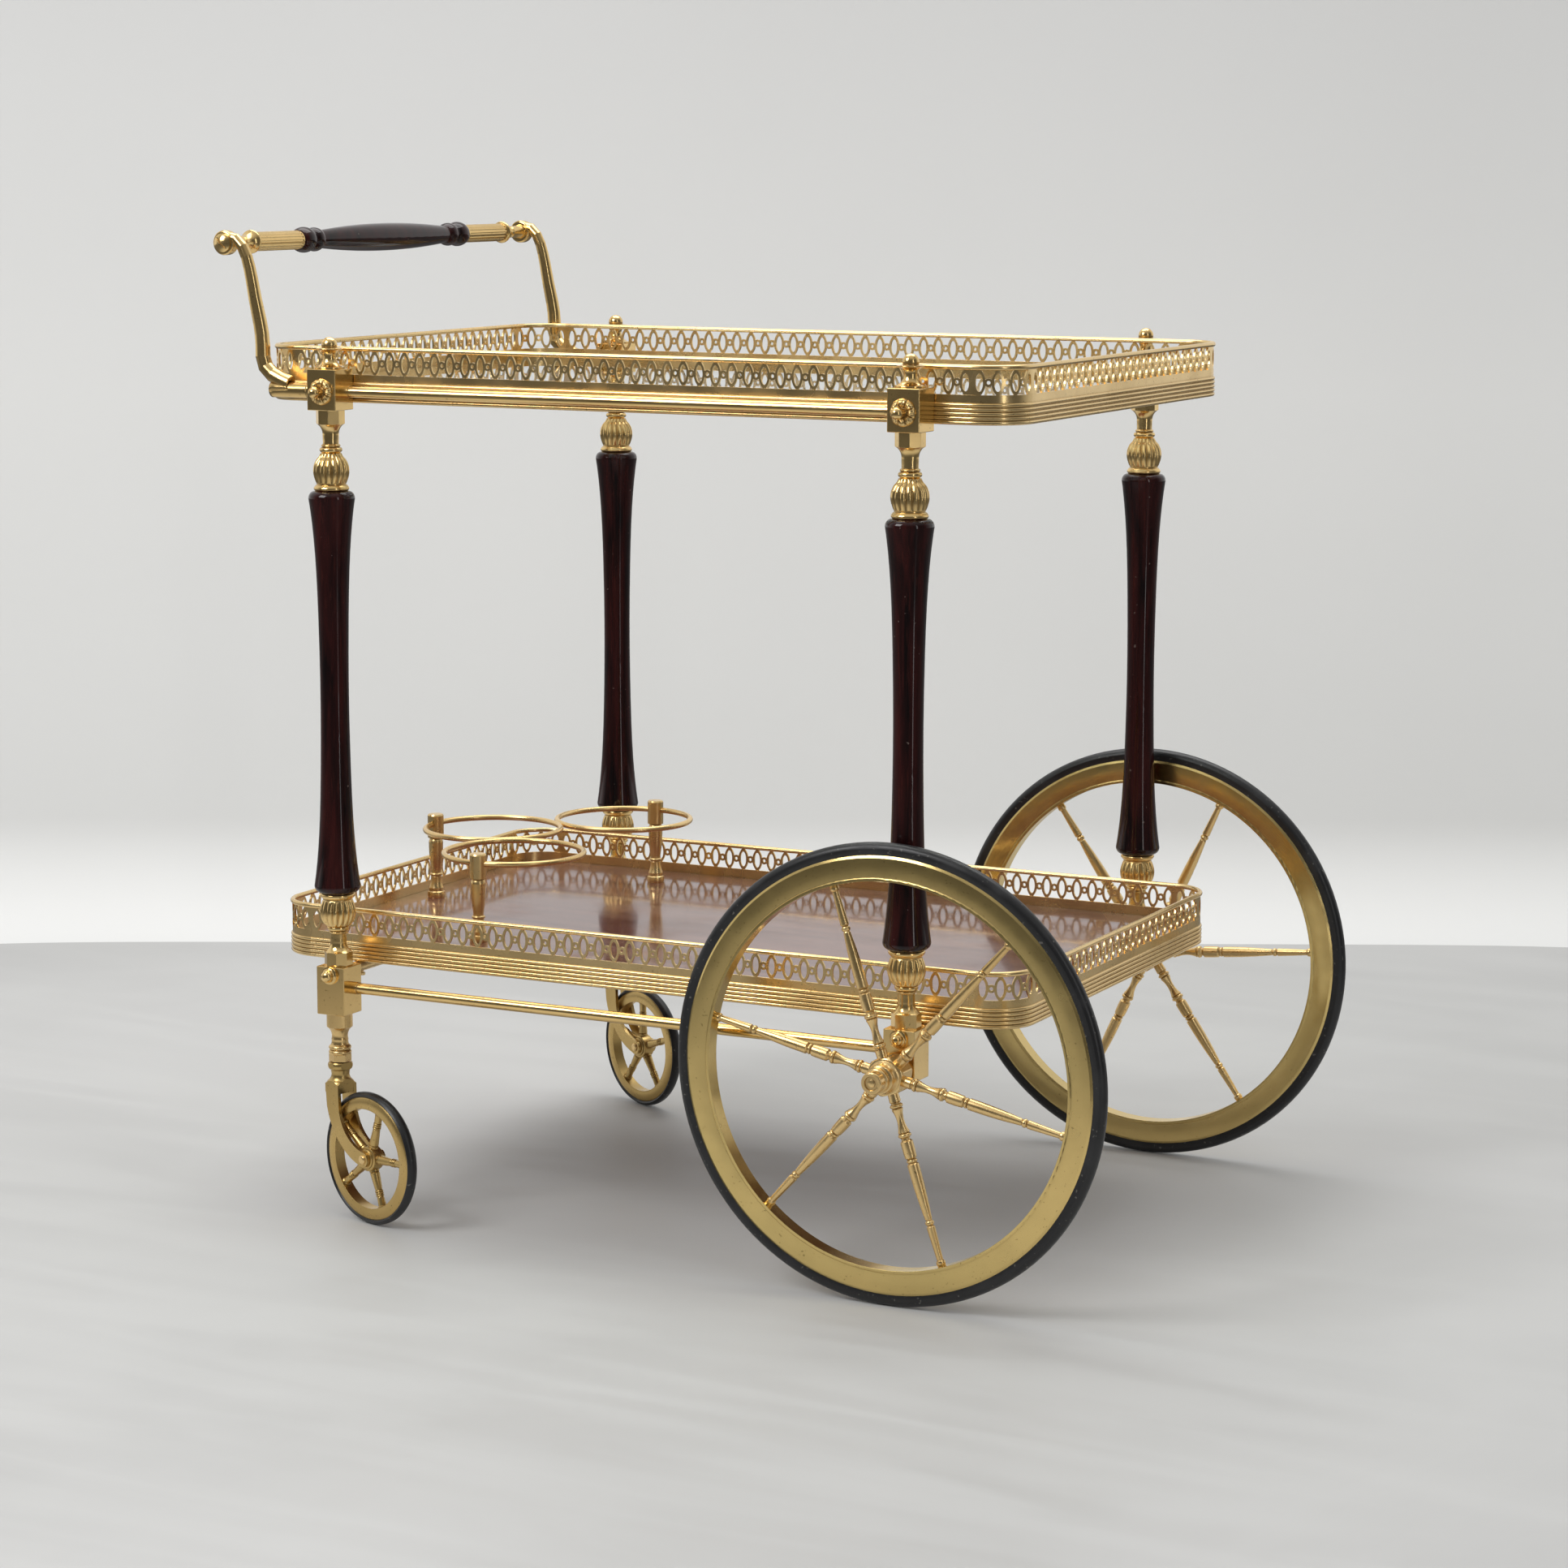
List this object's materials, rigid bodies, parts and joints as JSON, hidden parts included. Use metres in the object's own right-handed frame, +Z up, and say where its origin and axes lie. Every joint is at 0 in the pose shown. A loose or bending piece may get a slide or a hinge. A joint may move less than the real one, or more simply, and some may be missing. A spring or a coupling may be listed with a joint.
{
  "type": "serving trolley",
  "caption": "Two-tier serving trolley in brass and dark wood with gallery-edged trays, a bottle holder, a push handle, large spoked front wheels and small rear swivel casters.",
  "frame": {"origin": "on the floor, under the centre of the overall box", "axes": "+X towards the front (large wheels), +Y towards the left side, +Z up"},
  "size_m": [0.8048, 0.5966, 0.8109],
  "materials": {
    "polished_brass": "polished, lightly tarnished in recesses",
    "satin_brass": "satin, lightly tarnished",
    "aged_brass": "satin, stamped",
    "dull_brass": "satin, slightly greenish",
    "mahogany": "near-black red-brown, glossy lacquer",
    "panel_veneer": "glossy lacquer over fine straight grain",
    "clear_glass": "clear, polished",
    "black_rubber": "satin black",
    "steel_rod": "plain, hidden"
  },
  "bodies": {
    "frame": {"acorn_nuts": "polished_brass", "bottle_ring_left": "satin_brass", "bottle_ring_posts": "satin_brass", "bottle_ring_rear": "satin_brass", "bottle_ring_right": "satin_brass", "caster_lock_nuts": "satin_brass", "caster_necks": "satin_brass", "crossbar_front": "satin_brass", "crossbar_rear": "satin_brass", "finials": "polished_brass", "handle_arm_left": "polished_brass", "handle_arm_right": "polished_brass", "handle_end_screws": "polished_brass", "handle_ferrules": "polished_brass", "handle_grip": "mahogany", "handle_rod": "steel_rod", "lower_corner_blocks": "polished_brass", "lower_fluted_bulbs": "polished_brass", "lower_gallery": "aged_brass", "lower_gallery_rail": "aged_brass", "lower_necks": "polished_brass", "lower_panel": "panel_veneer", "lower_side_rail_left": "polished_brass", "lower_side_rail_right": "polished_brass", "lower_tray_frame": "aged_brass", "rosettes": "polished_brass", "stub_axles": "polished_brass", "tie_rods": "steel_rod", "tray_screws": "aged_brass", "upper_corner_blocks": "polished_brass", "upper_fluted_bulbs": "polished_brass", "upper_gallery": "aged_brass", "upper_gallery_rail": "aged_brass", "upper_glass": "clear_glass", "upper_necks": "polished_brass", "upper_side_rail_left": "polished_brass", "upper_side_rail_right": "polished_brass", "upper_tray_frame": "aged_brass", "wood_post_front_left": "mahogany", "wood_post_front_right": "mahogany", "wood_post_rear_left": "mahogany", "wood_post_rear_right": "mahogany"},
    "large_wheel_right": {"large_tyre_right": "black_rubber", "large_rim_right": "dull_brass", "large_spokes_right": "satin_brass", "large_hub_right": "satin_brass", "hub_cap_right": "satin_brass"},
    "caster_swivel_right": {"caster_fork_right": "satin_brass", "caster_axle_right": "satin_brass"},
    "caster_wheel_right": {"caster_wheel_right": "satin_brass", "caster_tyre_right": "black_rubber"},
    "large_wheel_left": {"large_tyre_left": "black_rubber", "large_rim_left": "dull_brass", "large_spokes_left": "satin_brass", "large_hub_left": "satin_brass", "hub_cap_left": "satin_brass"},
    "caster_swivel_left": {"caster_fork_left": "satin_brass", "caster_axle_left": "satin_brass"},
    "caster_wheel_left": {"caster_wheel_left": "satin_brass", "caster_tyre_left": "black_rubber"}
  },
  "joints": [
    {"name": "large_wheel_right_spin", "type": "hinge", "parent": "frame", "child": "large_wheel_right", "pos_m": [0.2224, -0.2683, 0.18], "axis": [0, 1, 0], "continuous": true},
    {"name": "caster_right_swivel", "type": "hinge", "parent": "frame", "child": "caster_swivel_right", "pos_m": [-0.2926, -0.236, 0.12], "axis": [0, 0, 1], "continuous": true},
    {"name": "caster_right_spin", "type": "hinge", "parent": "caster_swivel_right", "child": "caster_wheel_right", "pos_m": [-0.25562, -0.24837, 0.0552], "axis": [0.3173, 0.9483, 0], "continuous": true},
    {"name": "large_wheel_left_spin", "type": "hinge", "parent": "frame", "child": "large_wheel_left", "pos_m": [0.2224, 0.2683, 0.18], "axis": [0, 1, 0], "continuous": true},
    {"name": "caster_left_swivel", "type": "hinge", "parent": "frame", "child": "caster_swivel_left", "pos_m": [-0.2926, 0.236, 0.12], "axis": [0, 0, 1], "continuous": true},
    {"name": "caster_left_spin", "type": "hinge", "parent": "caster_swivel_left", "child": "caster_wheel_left", "pos_m": [-0.25743, 0.21915, 0.0552], "axis": [0.4321, 0.9018, 0], "continuous": true}
  ]
}
